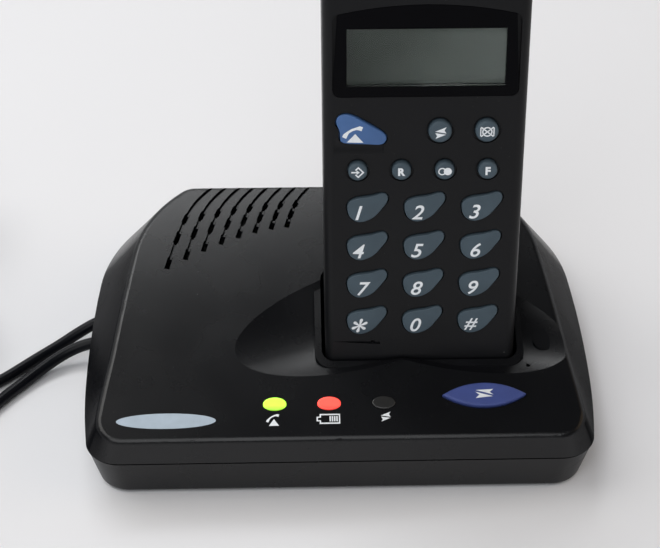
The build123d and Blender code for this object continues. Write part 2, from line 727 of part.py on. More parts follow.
def leaf_face(points, grow=0.0):
    """Smooth closed outline through clockwise points, moved outwards by grow."""
    curve = Spline(points, periodic=True)
    if grow:
        steps = 18
        moved = []
        for i in range(steps):
            along = curve % (i / steps)
            moved.append(curve @ (i / steps) + Vector(-along.Y, along.X).normalized() * grow)
        curve = Spline(moved, periodic=True)
    return make_face([curve])


def key_solid(points):
    """Domed key cap standing proud of the front face, with a flange behind the shell."""
    dome = Pos(0, KEY_DOME_R - KEY_PROUD, 0) * Sphere(KEY_DOME_R)
    cap = front_prism(leaf_face(points), -KEY_PROUD, KEY_BACK) & dome
    rim = [e for e in cap.edges() if e.bounding_box().max.Y < 0]
    cap = fillet(rim, 0.3)
    return cap + front_prism(leaf_face(points, 0.7), FLANGE_FRONT, FLANGE_BACK)


def number_key(x, z):
    return Pos(x, 0, z) * key_solid(LEAF_POINTS)


def talk_key():
    return Pos(TALK_X, 0, TALK_Z) * key_solid(TALK_POINTS)


def round_key(x, z, radius):
    cap = front_prism(Circle(radius), -ROUND_KEY_PROUD, KEY_BACK)
    rim = [e for e in cap.edges() if abs(e.center().Y + ROUND_KEY_PROUD) < 0.01]
    cap = fillet(rim, 0.8)
    flange = front_prism(Circle(radius + 0.7), FLANGE_FRONT, FLANGE_BACK)
    return Pos(x, 0, z) * (cap + flange)


def window_face(grow=0.0):
    """Display window's outline, with an arched top."""
    half = WINDOW_HALF + grow
    low = WINDOW_LOW - grow
    side = WINDOW_SIDE + grow
    outline = make_face(
        [
            Line((-half, low), (half, low)),
            Line((half, low), (half, side)),
            ThreePointArc((half, side), (0, WINDOW_TOP + grow), (-half, side)),
            Line((-half, side), (-half, low)),
        ]
    )
    return fillet(outline.vertices(), 2.0 + grow)


def display_window():
    pane = front_prism(window_face(), -0.05, WINDOW_T)
    rim = [e for e in pane.edges() if abs(e.center().Y + 0.05) < 0.01]
    return fillet(rim, 0.25)


def lcd_module():
    glass = block(-LCD_HALF - 1.4, LCD_HALF + 1.4, 1.7, 3.6, LCD_LOW - 1.2, LCD_HIGH + 1.2)
    frame = block(-LCD_HALF - 2.2, LCD_HALF + 2.2, 3.6, 5.8, LCD_LOW - 2.2, LCD_HIGH + 2.2)
    return glass + frame


EAR_Z = 96.0
MIC_Z = -23.4


def handset_shell():
    """Both halves of the handset's shell as one hollow body, before it is cut in two."""
    body = handset_solid()
    hollow = handset_solid(HS_WALL)
    shell = body - hollow
    groove = body - handset_solid(0.45)
    groove = groove & block(-40, 40, HS_PARTING - 0.2, HS_PARTING + 0.25, -60, 130)
    return shell - groove


def handset_front_shell(shell):
    front = shell & block(-40, 40, -5, HS_PARTING, -60, 130)
    front = front + lcd_seat()
    front = front - front_prism(window_face(0.08), -1, WINDOW_T)
    front = front - block(-LCD_HALF, LCD_HALF, 0, 4.0, LCD_LOW, LCD_HIGH)
    front = front - block(
        -LCD_HALF - 1.5, LCD_HALF + 1.5, 1.68, 6.0, LCD_LOW - 1.3, LCD_HIGH + 1.3
    )
    hole = front_prism(leaf_face(LEAF_POINTS, KEY_GAP), -2, 4)
    for x, z in key_places().values():
        front = front - Pos(x, 0, z) * hole
    front = front - Pos(TALK_X, 0, TALK_Z) * front_prism(leaf_face(TALK_POINTS, KEY_GAP), -2, 4)
    for x in LARGE_KEYS.values():
        front = front - Pos(x, 0, LARGE_KEY_Z) * round_hole(LARGE_KEY_R)
    for x in SMALL_KEYS.values():
        front = front - Pos(x, 0, SMALL_KEY_Z) * round_hole(SMALL_KEY_R)
    for x, z in HS_SCREW_PLACES:
        front = front + Pos(x, 0, z) * front_prism(Circle(3.0), HS_WALL / 2, HS_PARTING - 0.05)
        front = front - Pos(x, 0, z) * front_prism(Circle(1.15), 8, HS_PARTING)
    return front - talk_ledge() - earpiece_holes() - mic_slot()


def lcd_seat():
    """Frame behind the window that the display module sits in."""
    return block(-LCD_HALF - 3.4, LCD_HALF + 3.4, 1.6, 3.4, LCD_LOW - 3.4, LCD_HIGH + 3.2)


def round_hole(radius):
    """Hole for a round key with a shallow dish round it."""
    hole = front_prism(Circle(radius + 0.3), -2, 4)
    dish = front_prism(Circle(radius + 0.75), -2, 0.45)
    return hole + dish


def talk_ledge():
    """Shallow scooped ledge below the talk key."""
    tool = Cylinder(6.0, 13.0, rotation=(0, 90, 0))
    return Pos(TALK_X - 0.6, -5.55, TALK_Z - 4.5) * tool


def earpiece_holes():
    """Ring of sound slots over the earpiece."""
    holes = front_prism(SlotOverall(6.0, 1.2), -1, 4)
    slots = Pos(0, 0, EAR_Z) * holes
    for dz, length in ((3.0, 12.0), (-3.0, 12.0), (6.0, 8.0), (-6.0, 8.0)):
        slots = slots + Pos(0, 0, EAR_Z + dz) * front_prism(SlotOverall(length, 1.2), -1, 4)
    for dx in (-5.6, 5.6):
        slots = slots + Pos(dx, 0, EAR_Z) * front_prism(SlotOverall(3.6, 1.2), -1, 4)
    return slots


def mic_slot():
    """Wedge-shaped slot low on the left, with the microphone's hole in it."""
    tip = (-24.2, MIC_Z + 0.2)
    face = make_face([Polyline(tip, (-11.0, MIC_Z + 0.4), (-11.0, MIC_Z - 0.7), tip)])
    hole = front_prism(Circle(0.6), -1, 4)
    return front_prism(face, -1, 0.6) + Pos(-13.0, 0, MIC_Z) * hole


def cover_face(grow=0.0):
    width = 2 * (COVER_HALF + grow)
    height = COVER_HIGH - COVER_LOW + 2 * grow
    return Pos(0, (COVER_LOW + COVER_HIGH) / 2) * RectangleRounded(width, height, 3.0 + grow)


def handset_rear_shell(shell):
    rear = shell & block(-40, 40, HS_PARTING, 40, -60, 130)
    back = HS_THICK
    seat_y = back - COVER_T - 0.3
    bay_low, bay_high, bay_half = COVER_LOW + 4, COVER_HIGH - 6, COVER_HALF - 3
    rear = rear + front_prism(cover_face(1.9), seat_y - 1.6, back - 0.9)
    wall = bay_half + BAY_WALL
    rear = rear + block(-wall, wall, back - 13.4, seat_y, bay_low - BAY_WALL, bay_high + BAY_WALL)
    rear = rear - front_prism(cover_face(0.4), seat_y, back + 1)
    rear = rear - block(-bay_half, bay_half, back - 12.0, back + 1, bay_low, bay_high)
    low = HS_BOTTOM + 6.4
    for x in CONTACT_XS:
        rear = rear - block(x - 2.6, x + 2.6, back - 0.9, back + 1, low, low + 7.2)
    for x, z in HS_SCREW_PLACES:
        rear = rear + Pos(x, 0, z) * front_prism(Circle(3.8), HS_PARTING + 0.05, back - 1.0)
        rear = rear - Pos(x, 0, z) * front_prism(Circle(2.4), back - 4.0, back + 1)
        rear = rear - Pos(x, 0, z) * front_prism(Circle(1.15), 8, back)
    return rear - antenna_seat()


HS_SCREW_PLACES = [(-19.0, 78.0), (19.0, 78.0), (-19.5, -30.5), (19.5, -30.5)]
ANTENNA_X = 17.0
ANTENNA_Y = 16.0
ANTENNA_R = 4.2
ANTENNA_ROOT_Z = 108.5
ANTENNA_LENGTH = 28.0


def antenna_seat():
    return Pos(ANTENNA_X, ANTENNA_Y, HS_SHOULDER - 6) * extrude(Circle(2.3), amount=20)


def handset_antenna():
    """Short stub with a thinner foot that passes through the top of the shell."""
    stub = extrude(Circle(ANTENNA_R), amount=ANTENNA_LENGTH, taper=1.5)
    stub = fillet([e for e in stub.edges() if e.center().Z > ANTENNA_LENGTH - 0.1], 2.0)
    stub = Pos(ANTENNA_X, ANTENNA_Y, ANTENNA_ROOT_Z) * stub - handset_solid()
    foot = Pos(ANTENNA_X, ANTENNA_Y, ANTENNA_ROOT_Z - 9) * extrude(Circle(2.15), amount=15)
    return stub + foot


def battery_cover():
    plate = front_prism(cover_face(), HS_THICK - COVER_T, HS_THICK)
    rim = [e for e in plate.edges() if abs(e.center().Y - HS_THICK) < 0.01]
    plate = fillet(rim, 0.5)
    for i in range(4):
        z = COVER_HIGH - 9 + 1.8 * i
        plate = plate - block(-6, 6, HS_THICK - 0.5, HS_THICK + 1, z, z + 0.8)
    return plate


CELL_R = 4.9
CELL_LENGTH = 44.5
CELL_PITCH = 10.2


def battery_pack():
    """Three cells side by side in a sleeve."""
    cells = []
    for i in range(3):
        cell = extrude(Circle(CELL_R), amount=CELL_LENGTH)
        cells.append(Pos((i - 1) * CELL_PITCH, HS_THICK - 7.0, COVER_LOW + 5.5) * cell)
    strap = block(-14, 14, HS_THICK - 9.0, HS_THICK - 5.0, COVER_LOW + 12, COVER_LOW + 42)
    return cells[0] + cells[1] + cells[2] + strap


def keypad_mat():
    mat = block(-23.4, 23.4, MAT_FRONT, MAT_FRONT + MAT_T, -21.6, 45.5)
    places = list(key_places().values())
    places += [(x, LARGE_KEY_Z) for x in LARGE_KEYS.values()]
    places += [(x, SMALL_KEY_Z) for x in SMALL_KEYS.values()]
    places.append((TALK_X, TALK_Z))
    for x, z in places:
        mat = mat + Pos(x, 0, z) * front_prism(Circle(1.6), MAT_FRONT - 0.9, MAT_FRONT)
    return mat


def handset_circuit_board():
    board = block(-23.4, 23.4, HS_BOARD_FRONT, HS_BOARD_FRONT + HS_BOARD_T, -38.0, 88.0)
    back = HS_BOARD_FRONT + HS_BOARD_T
    board = board + block(-12, -2, back, back + 1.6, 68, 78)
    board = board + block(4, 18, back, back + 2.8, 70, 84)
    board = board + block(-16, -8, back, back + 2.0, -20, -12)
    for x, z in HS_SCREW_PLACES:
        board = board - Pos(x, 0, z) * front_prism(Circle(3.3), 0, HS_PARTING)
    return board


def earpiece():
    disc = front_prism(Circle(13.0), HS_WALL + 0.2, HS_WALL + 3.9)
    return Pos(0, 0, EAR_Z) * (disc + front_prism(Circle(6.0), HS_WALL + 3.9, HS_WALL + 7.0))


def handset_microphone():
    return Pos(-13.0, 0, MIC_Z - 2.4) * front_prism(Circle(3.0), HS_WALL + 0.1, HS_WALL + 3.2)


def handset_contacts():
    """Charging plates set in the back, low down."""
    plates = []
    low = HS_BOTTOM + 6.5
    for x in CONTACT_XS:
        plates.append(block(x - 2.5, x + 2.5, HS_THICK - 0.9, HS_THICK - 0.1, low, low + 7.0))
    return plates[0] + plates[1]


def group(shapes):
    return Compound(children=[s for shape in shapes for s in shape.solids()])


# ---------------------------------------------------------------- writing the nodes
def write_base():
    write("base_top_shell", base_top_shell())
    write("base_bottom_shell", base_bottom_shell())
    pads = [Pos(x, y, 0) * extrude(Circle(5.0), amount=FOOT_H + 0.45) for x, y in FOOT_PLACES]
    write("base_rubber_feet", group(pads))
    screws = [Pos(x, y, FOOT_H + 1.0) * screw(15.0, 2.7, SCREW_R) for x, y in SCREW_PLACES]
    write("base_screws", group(screws))
    write("base_circuit_board", base_circuit_board())
    write("ringer_speaker", ringer_speaker())
    write("base_microphone", base_microphone())
    write("base_antenna", base_antenna())
    write("charge_springs", charge_springs(), HANDSET_FRAME)
    for name in LED_XS:
        write(name, led_window(name))
    write("page_button", page_button())
    write("page_switch", page_switch())
    write("line_jack", line_jack())
    write("power_jack", power_jack())


def write_cords():
    write("line_cord", cord_tube(LINE_ROUTE) - coil_ring(*LINE_COIL))
    write("line_cord_coil", coil_ring(*LINE_COIL))
    write("line_cord_base_plug", line_cord_base_plug())
    write("line_cord_wall_plug", line_cord_wall_plug())
    write("power_cord", cord_tube(POWER_ROUTE) - coil_ring(*POWER_COIL))
    write("power_cord_coil", coil_ring(*POWER_COIL))
    write("power_cord_base_plug", power_cord_base_plug())
    write("adaptor_strain_relief", adaptor_strain_relief())
    write("wall_adaptor_body", wall_adaptor_body())
    write("wall_adaptor_pins", wall_adaptor_pins())


def write_handset():
    shell = handset_shell()
    parts = {
        "handset_front_shell": handset_front_shell(shell),
        "handset_rear_shell": handset_rear_shell(shell),
        "display_window": display_window(),
        "lcd_module": lcd_module(),
        "talk_key": talk_key(),
        "keypad_mat": keypad_mat(),
        "handset_circuit_board": handset_circuit_board(),
        "earpiece": earpiece(),
        "handset_microphone": handset_microphone(),
        "handset_antenna": handset_antenna(),
        "battery_cover": battery_cover(),
        "battery_pack": battery_pack(),
        "handset_contacts": handset_contacts(),
    }
    for name, (x, z) in key_places().items():
        parts[name] = number_key(x, z)
    for name, x in LARGE_KEYS.items():
        parts[name] = round_key(x, LARGE_KEY_Z, LARGE_KEY_R)
    for name, x in SMALL_KEYS.items():
        parts[name] = round_key(x, SMALL_KEY_Z, SMALL_KEY_R)
    screws = []
    for x, z in HS_SCREW_PLACES:
        screws.append(Pos(x, HS_THICK - 2.4, z) * Rot(90, 0, 0) * screw(12.0, 2.1, 1.1))
    parts["handset_screws"] = group(screws)
    for name, shape in parts.items():
        write(name, shape, HANDSET_FRAME)


write_base()
write_cords()
write_handset()
print(len(written), "nodes")
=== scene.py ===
import json
import math

import bmesh
import bpy
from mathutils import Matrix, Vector


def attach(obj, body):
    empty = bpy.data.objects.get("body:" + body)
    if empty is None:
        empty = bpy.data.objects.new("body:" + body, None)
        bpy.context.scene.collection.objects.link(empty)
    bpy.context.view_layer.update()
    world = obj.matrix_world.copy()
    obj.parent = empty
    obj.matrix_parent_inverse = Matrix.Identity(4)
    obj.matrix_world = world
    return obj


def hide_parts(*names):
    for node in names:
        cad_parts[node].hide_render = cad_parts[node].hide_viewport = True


# Cordless telephone in its charging base. Metres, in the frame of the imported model: x across,
# y to the back, z up, origin on the floor under the middle of the base.

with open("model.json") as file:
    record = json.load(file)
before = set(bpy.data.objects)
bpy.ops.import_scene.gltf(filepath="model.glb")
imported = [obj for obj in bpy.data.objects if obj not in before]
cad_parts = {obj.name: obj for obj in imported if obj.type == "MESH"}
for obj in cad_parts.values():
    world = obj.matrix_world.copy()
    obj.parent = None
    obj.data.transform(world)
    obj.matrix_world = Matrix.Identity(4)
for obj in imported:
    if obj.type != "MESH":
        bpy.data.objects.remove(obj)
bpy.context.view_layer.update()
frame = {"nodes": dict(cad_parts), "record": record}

MM = 0.001
DECK_Y0 = -61.0           # mm, front of the base's seam in this frame


# ---------------------------------------------------------------- camera
camera_data = bpy.data.cameras.new("camera")
camera_data.lens = 95.4545
camera_data.sensor_width = 36.0
camera = bpy.data.objects.new("camera", camera_data)
camera.location = (-0.010458, -0.401225, 0.342763)
camera.rotation_euler = (math.radians(52.0), 0.0, math.radians(-1.2417))
bpy.context.collection.objects.link(camera)
bpy.context.scene.camera = camera


# ---------------------------------------------------------------- helpers
def link(obj):
    bpy.context.collection.objects.link(obj)
    return obj


def mm(points):
    """Points drawn in millimetres from the front of the base's seam, in metres in this frame."""
    return [Vector((x * MM, (y + DECK_Y0) * MM, z * MM)) for x, y, z in points]


def clamp01(value):
    return max(0.0, min(1.0, value))


# ---------------------------------------------------------------- node materials
class Shader:
    """A Principled material with helpers that add procedural detail to it."""

    def __init__(self, name, color, roughness, metallic=0.0, specular=0.5):
        self.mat = bpy.data.materials.new(name)
        self.mat.use_nodes = True
        self.tree = self.mat.node_tree
        self.bsdf = self.tree.nodes["Principled BSDF"]
        self.bsdf.inputs["Base Color"].default_value = (*color, 1.0)
        self.bsdf.inputs["Roughness"].default_value = roughness
        self.bsdf.inputs["Metallic"].default_value = metallic
        self.bsdf.inputs["Specular IOR Level"].default_value = specular
        self.color = color
        self.roughness = roughness
        self.coord = self.tree.nodes.new("ShaderNodeTexCoord")
        self.normal = None

    def node(self, kind, **settings):
        made = self.tree.nodes.new(kind)
        for key, value in settings.items():
            setattr(made, key, value)
        return made

    def join(self, a, b):
        self.tree.links.new(a, b)

    def noise(self, scale, detail=3.0, rough=0.5):
        tex = self.node("ShaderNodeTexNoise")
        tex.inputs["Scale"].default_value = scale
        tex.inputs["Detail"].default_value = detail
        tex.inputs["Roughness"].default_value = rough
        self.join(self.coord.outputs["Object"], tex.inputs["Vector"])
        return tex.outputs["Fac"]

    def ranged(self, value, low_in, high_in, low, high):
        ramp = self.node("ShaderNodeMapRange")
        ramp.inputs["From Min"].default_value = low_in
        ramp.inputs["From Max"].default_value = high_in
        ramp.inputs["To Min"].default_value = low
        ramp.inputs["To Max"].default_value = high
        self.join(value, ramp.inputs["Value"])
        return ramp.outputs["Result"]

    def math(self, operation, a, b):
        made = self.node("ShaderNodeMath", operation=operation)
        for socket, value in zip(made.inputs, (a, b)):
            if isinstance(value, (int, float)):
                socket.default_value = value
            else:
                self.join(value, socket)
        return made.outputs["Value"]

    def mix(self, factor, a, b):
        made = self.node("ShaderNodeMix", data_type="RGBA")
        self.join(factor, made.inputs["Factor"])
        for key, value in (("A", a), ("B", b)):
            socket = [s for s in made.inputs if s.name == key and s.type == "RGBA"][0]
            if isinstance(value, tuple):
                socket.default_value = (*value, 1.0)
            else:
                self.join(value, socket)
        return [s for s in made.outputs if s.type == "RGBA"][0]

    def bump(self, height, strength, distance):
        made = self.node("ShaderNodeBump")
        made.inputs["Strength"].default_value = strength
        made.inputs["Distance"].default_value = distance
        self.join(height, made.inputs["Height"])
        if self.normal is not None:
            self.join(self.normal, made.inputs["Normal"])
        self.normal = made.outputs["Normal"]
        self.join(self.normal, self.bsdf.inputs["Normal"])

    def paint(self, color_socket):
        self.join(color_socket, self.bsdf.inputs["Base Color"])
        self.color_socket = color_socket

    def vary_color(self, scale, share):
        """Cloudy lighter and darker areas."""
        dark = tuple(c * (1 - share) for c in self.color)
        light = tuple(min(1.0, c * (1 + share)) for c in self.color)
        fac = self.ranged(self.noise(scale), 0.3, 0.7, 0.0, 1.0)
        self.paint(self.mix(fac, dark, light))

    def vary_roughness(self, scale, spread):
        fac = self.noise(scale, 4.0)
        value = self.ranged(fac, 0.3, 0.7, self.roughness - spread, self.roughness + spread)
        self.join(value, self.bsdf.inputs["Roughness"])

    def dull_sides(self, side, front):
        """Takes the sheen off faces that point left or right.

        One plastic would not do this. It is here for the look: with the sheen of the other
        faces they rendered too light.
        """
        split = self.node("ShaderNodeSeparateXYZ")
        self.join(self.coord.outputs["Normal"], split.inputs["Vector"])
        sideways = self.math("ABSOLUTE", split.outputs["X"], 0.0)
        value = self.ranged(sideways, 0.3, 0.85, front, side)
        self.join(value, self.bsdf.inputs["Specular IOR Level"])

    def dust(self, scale, size, rarity, color):
        """Sparse light specks."""
        cells = self.node("ShaderNodeTexVoronoi")
        cells.inputs["Scale"].default_value = scale
        self.join(self.coord.outputs["Object"], cells.inputs["Vector"])
        pick = self.node("ShaderNodeSeparateColor")
        self.join(cells.outputs["Color"], pick.inputs["Color"])
        chosen = self.math("GREATER_THAN", pick.outputs["Red"], 1.0 - rarity)
        near = self.ranged(cells.outputs["Distance"], size * 0.5, size, 1.0, 0.0)
        speck = self.math("MULTIPLY", chosen, near)
        self.paint(self.mix(speck, self.color_socket, color))
        return self


def textured_plastic(
    name, color, roughness, grain=0.25, dusty=True, specular=0.5, side_specular=None
):
    """Moulded plastic with a fine even grain and, if dusty, light specks."""
    s = Shader(name, color, roughness, specular=specular)
    if side_specular is not None:
        s.dull_sides(side_specular, specular)
    s.vary_color(45.0, 0.12)
    if dusty:
        s.dust(330.0, 0.06, 0.02, (0.16, 0.16, 0.155))
        s.dust(900.0, 0.13, 0.06, (0.035, 0.035, 0.034))
    s.vary_roughness(60.0, 0.02)
    s.bump(s.noise(2600.0, 2.0), grain, 0.00006)
    return s.mat


def rubber(name, color, roughness=0.62):
    s = Shader(name, color, roughness, specular=0.4)
    s.vary_color(160.0, 0.08)
    s.vary_roughness(200.0, 0.04)
    s.bump(s.noise(3500.0, 2.0), 0.12, 0.00004)
    return s.mat


def metal(name, color, roughness):
    s = Shader(name, color, roughness, metallic=1.0)
    s.vary_color(300.0, 0.06)
    s.vary_roughness(500.0, 0.06)
    s.bump(s.noise(1800.0, 2.0), 0.1, 0.00003)
    return s.mat


def gloss(name, color, roughness, wave=0.04, specular=0.5):
    s = Shader(name, color, roughness, specular=specular)
    s.vary_color(90.0, 0.06)
    s.vary_roughness(120.0, roughness * 0.2)
    s.bump(s.noise(240.0, 2.0), wave, 0.00008)
    return s.mat


CHARCOAL = (0.0031, 0.0033, 0.0043)
MATERIALS = {
    "base_shell": textured_plastic(
        "charcoal_base", CHARCOAL, 0.27, 0.3, specular=0.38, side_specular=0.0024
    ),
    "handset_shell": textured_plastic("charcoal_handset", CHARCOAL, 0.4, 0.3, specular=0.22),
    "rubber_black": rubber("black_rubber", (0.012, 0.012, 0.012), 0.7),
    "key_rubber": rubber("slate_key", (0.055, 0.083, 0.106), 0.55),
    "talk_rubber": rubber("blue_key", (0.060, 0.138, 0.33), 0.5),
    "page_rubber": rubber("violet_button", (0.05, 0.076, 0.26), 0.5),
    "screw_steel": metal("zinc_screw", (0.5, 0.5, 0.5), 0.35),
    "contact_metal": metal("nickel_contact", (0.62, 0.6, 0.55), 0.28),
    "board": gloss("solder_mask", (0.02, 0.12, 0.05), 0.35),
    "speaker": gloss("black_cone", (0.02, 0.02, 0.02), 0.5),
    "capsule": metal("capsule_can", (0.6, 0.6, 0.6), 0.35),
    "aerial_wire": metal("brass_wire", (0.6, 0.42, 0.18), 0.3),
    "jack_plastic": textured_plastic("jack_black", (0.012, 0.012, 0.012), 0.5, 0.15, False),
    "cord_plastic": gloss("cord_black", (0.0045, 0.005, 0.007), 0.3, 0.1, specular=0.14),
    "adaptor_plastic": textured_plastic("adaptor_black", (0.014, 0.014, 0.014), 0.5, 0.35, False),
    "pin_metal": metal("nickel_pin", (0.66, 0.64, 0.6), 0.22),
    "cell_sleeve": gloss("cell_sleeve", (0.03, 0.12, 0.06), 0.4),
}


def led_material(name, color, strength):
    """Lens that, if lit, glows most across its middle and less towards its front and rear."""
    s = Shader(name, color, 0.25)
    s.vary_color(500.0, 0.08)
    s.bump(s.noise(900.0, 1.0), 0.08, 0.00005)
    if strength:
        split = s.node("ShaderNodeSeparateXYZ")
        s.join(s.coord.outputs["Generated"], split.inputs["Vector"])
        aside = s.math("ABSOLUTE", s.math("SUBTRACT", split.outputs["Y"], 0.44), 0.0)
        glow = s.ranged(aside, 0.24, 0.46, strength, strength * 0.3)
        s.bsdf.inputs["Emission Color"].default_value = (*color, 1.0)
        s.join(glow, s.bsdf.inputs["Emission Strength"])
    return s.mat


def clear_plastic(name, color, roughness, transmission, ior=1.45):
    s = Shader(name, color, roughness)
    s.vary_roughness(200.0, roughness * 0.3)
    s.bump(s.noise(400.0, 1.0), 0.03, 0.00005)
    s.bsdf.inputs["Transmission Weight"].default_value = transmission
    s.bsdf.inputs["IOR"].default_value = ior
    return s.mat


MATERIALS["led_green"] = led_material("lit_green", (0.42, 0.86, 0.06), 1.25)
MATERIALS["led_red"] = led_material("lit_red", (0.95, 0.075, 0.055), 1.35)
MATERIALS["led_grey"] = led_material("unlit_lens", (0.022, 0.022, 0.022), 0.0)
MATERIALS["plug_clear"] = clear_plastic("smoky_plug", (0.55, 0.55, 0.52), 0.12, 0.75)


def lcd_material():
    """Grey-green reflective display with painted shading, darker towards its left side."""
    s = Shader("lcd", (0.06, 0.078, 0.066), 0.35)
    split = s.node("ShaderNodeSeparateXYZ")
    s.join(s.coord.outputs["Object"], split.inputs["Vector"])
    # Painted shading: the colour runs from dark at the display's left side to light at its right.
    across = s.ranged(split.outputs["X"], 0.002, 0.044, 0.0, 1.0)
    blotch = s.ranged(s.noise(55.0, 2.0), 0.3, 0.7, -0.12, 0.12)
    fac = s.math("ADD", across, blotch)
    s.paint(s.mix(fac, (0.008, 0.018, 0.011), (0.135, 0.155, 0.142)))
    s.bump(s.noise(2500.0, 2.0), 0.05, 0.00004)
    return s.mat


MATERIALS["lcd"] = lcd_material()
MATERIALS["window"] = gloss("gloss_black", (0.0022, 0.0022, 0.003), 0.07, 0.02, specular=0.04)
PRINT_WHITE = Shader("print_white", (0.84, 0.87, 0.90), 0.5)
PRINT_WHITE.vary_color(700.0, 0.05)
PRINT_WHITE.bump(PRINT_WHITE.noise(3000.0, 2.0), 0.1, 0.00003)
BADGE = Shader("badge_grey", (0.42, 0.50, 0.58), 0.4)
BADGE.vary_color(300.0, 0.06)
BADGE.bump(BADGE.noise(2500.0, 2.0), 0.1, 0.00003)

slots = {entry["node"]: entry["material_slot"] for entry in frame["record"]["subparts"]}
for node_name, node_obj in frame["nodes"].items():
    for material_slot in node_obj.material_slots:
        material_slot.material = MATERIALS[slots[node_name]]


# ---------------------------------------------------------------- cords
CORD_D = 3.5
CORD_R = CORD_D / 2
FLOOR_Z = CORD_R
JACK_Z = 6.7
COIL_OUT = 24.95          # centre line radius of a coil's outermost turn
COIL_PITCH = 3.6
COIL_IN = COIL_OUT - COIL_PITCH * 3
CLIMB_STEPS = 6
COIL_WOBBLE = 0.12
LAYER_PITCH = 3.36
LINE_ROUTE = [
    (-62.0, 59.0, JACK_Z),
    (-67.8, 59.0, JACK_Z),
    (-74.1, 58.9, 5.8),
    (-80.1, 57.0, 4.2),
    (-86.0, 52.6, 2.7),
    (-91.9, 46.2, 1.8),
    (-97.9, 38.6, FLOOR_Z),
    (-103.2, 30.2, FLOOR_Z),
    (-107.5, 20.8, FLOOR_Z),
    (-110.5, 10.5, FLOOR_Z),
    (-112.43, -0.33, FLOOR_Z),
]
POWER_ROUTE = [
    (-60.0, 70.6, JACK_Z),
    (-65.8, 70.6, JACK_Z),
    (-71.8, 69.5, 5.5),
    (-77.6, 66.6, 3.6),
    (-83.0, 62.6, 2.1),
    (-88.2, 58.0, FLOOR_Z),
    (-93.2, 52.8, FLOOR_Z),
    (-98.6, 47.2, FLOOR_Z),
    (-105.2, 43.0, FLOOR_Z),
    (-112.8, 40.5, FLOOR_Z),
    (-120.8, 38.8, FLOOR_Z),
    (-128.67, 37.43, FLOOR_Z),
]
LINE_COIL = (-137.0, 4.0)
POWER_COIL = (-133.0, 62.0)


def coil_turns(centre, start_deg, counts, end_deg, steps=16):
    """Neat turns, clockwise from above: layer by layer, inwards then outwards and so on."""
    points = []
    angle = start_deg
    radius = COIL_OUT
    z = FLOOR_Z
    inwards = True
    for layer, turns in enumerate(counts):
        last = layer == len(counts) - 1
        target = COIL_IN if inwards else COIL_OUT
        total = turns * steps
        if last:
            total += round(((angle - end_deg) % 360.0) / (360.0 / steps))
        r0 = radius
        for i in range(1, total + 1):
            angle -= 360.0 / steps
            share = i / total
            radius = r0 + (target - r0) * share
            climb = 0.0
            if not last:
                climb = LAYER_PITCH * clamp01((i - total + CLIMB_STEPS) / CLIMB_STEPS)
            wobble = COIL_WOBBLE * math.sin(angle * 0.031 + layer)
            a = math.radians(angle)
            reach = radius + wobble
            x = centre[0] + reach * math.cos(a)
            y = centre[1] + reach * math.sin(a)
            points.append((x, y, z + climb))
        if not last:
            z += LAYER_PITCH
        inwards = not inwards
    return points


def cord_curve(name, points):
    """One smooth open spline, round in section."""
    data = bpy.data.curves.new(name, "CURVE")
    data.dimensions = "3D"
    data.bevel_depth = CORD_R * MM
    data.bevel_resolution = 6
    data.resolution_u = 6
    data.use_fill_caps = True
    spline = data.splines.new("NURBS")
    metres = mm(points)
    spline.points.add(len(metres) - 1)
    for knot, place in zip(spline.points, metres):
        knot.co = (*place, 1.0)
    spline.order_u = 3
    spline.use_endpoint_u = True
    data.materials.append(MATERIALS["cord_plastic"])
    return link(bpy.data.objects.new(name, data))


def curve_length(obj):
    """Length of the spline itself, measured on a copy that has no round section."""
    line = link(bpy.data.objects.new("centre_line", obj.data.copy()))
    line.data.bevel_depth = 0.0
    mesh = bpy.data.meshes.new_from_object(line.evaluated_get(bpy.context.evaluated_depsgraph_get()))
    co = [v.co.copy() for v in mesh.vertices]
    bpy.data.objects.remove(line)
    bpy.data.meshes.remove(mesh)
    return sum((b - a).length for a, b in zip(co, co[1:]))


line_turns = coil_turns(LINE_COIL, -10.0, (4, 4, 3, 2), -100.0)
line_tail = [
    (-146.6, -16.6, 12.2),
    (-151.6, -16.6, 13.9),
    (-155.2, -14.8, 15.8),
    (-156.4, -12.2, 16.75),
    (-156.5, -9.5, 16.8),
]
line_piece = cord_curve("telephone_line", LINE_ROUTE + line_turns + line_tail)
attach(line_piece, "base")
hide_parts("line_cord", "line_cord_coil")

power_turns = coil_turns(POWER_COIL, -80.0, (4, 4, 3, 2), 190.0)
power_tail = [
    (-158.0, 63.0, 11.2),
    (-157.95, 68.0, 10.6),
    (-157.95, 73.5, 10.5),
]
power_piece = cord_curve("power_lead", POWER_ROUTE + power_turns + power_tail)
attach(power_piece, "base")
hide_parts("power_cord", "power_cord_coil")

print("CORDS", curve_length(line_piece), curve_length(power_piece))
round(curve_length(line_piece), 3)
round(curve_length(power_piece), 3)


# ---------------------------------------------------------------- surfaces that marks are printed on
DECK_FRONT_Z = 19.8
DECK_RISE = 0.384
DECK_SAG = 0.000937
LEAN = 10.75
HANDSET_AT = (22.2, 30.3, 55.8)
KEY_PROUD = 1.2
KEY_DOME_R = 24.0
ROUND_PROUD = 1.5
PAGE_PROUD = 1.1
PAGE_AT = (39.0, 12.6)
MARK_LIFT = 0.02


def deck_z(y):
    return DECK_FRONT_Z + DECK_RISE * y - DECK_SAG * y * y


def deck_place(x, y, lift=0.0):
    """Function from a mark's own u, v, w in mm to a point on the deck, in metres."""
    slope = math.atan(DECK_RISE - 2 * DECK_SAG * y)

    def place(u, v, w):
        py = y + v * math.cos(slope)
        up = lift + MARK_LIFT + w
        return mm([(x + u, py - up * math.sin(slope), deck_z(py) + up * math.cos(slope))])[0]

    return place


def handset_point(x, depth, z):
    """Point of the handset's own frame, in mm, in metres in this frame."""
    c, s = math.cos(math.radians(LEAN)), math.sin(math.radians(LEAN))
    across, back, up = HANDSET_AT
    return mm([(across + x, back + depth * c + z * s, up - depth * s + z * c)])[0]


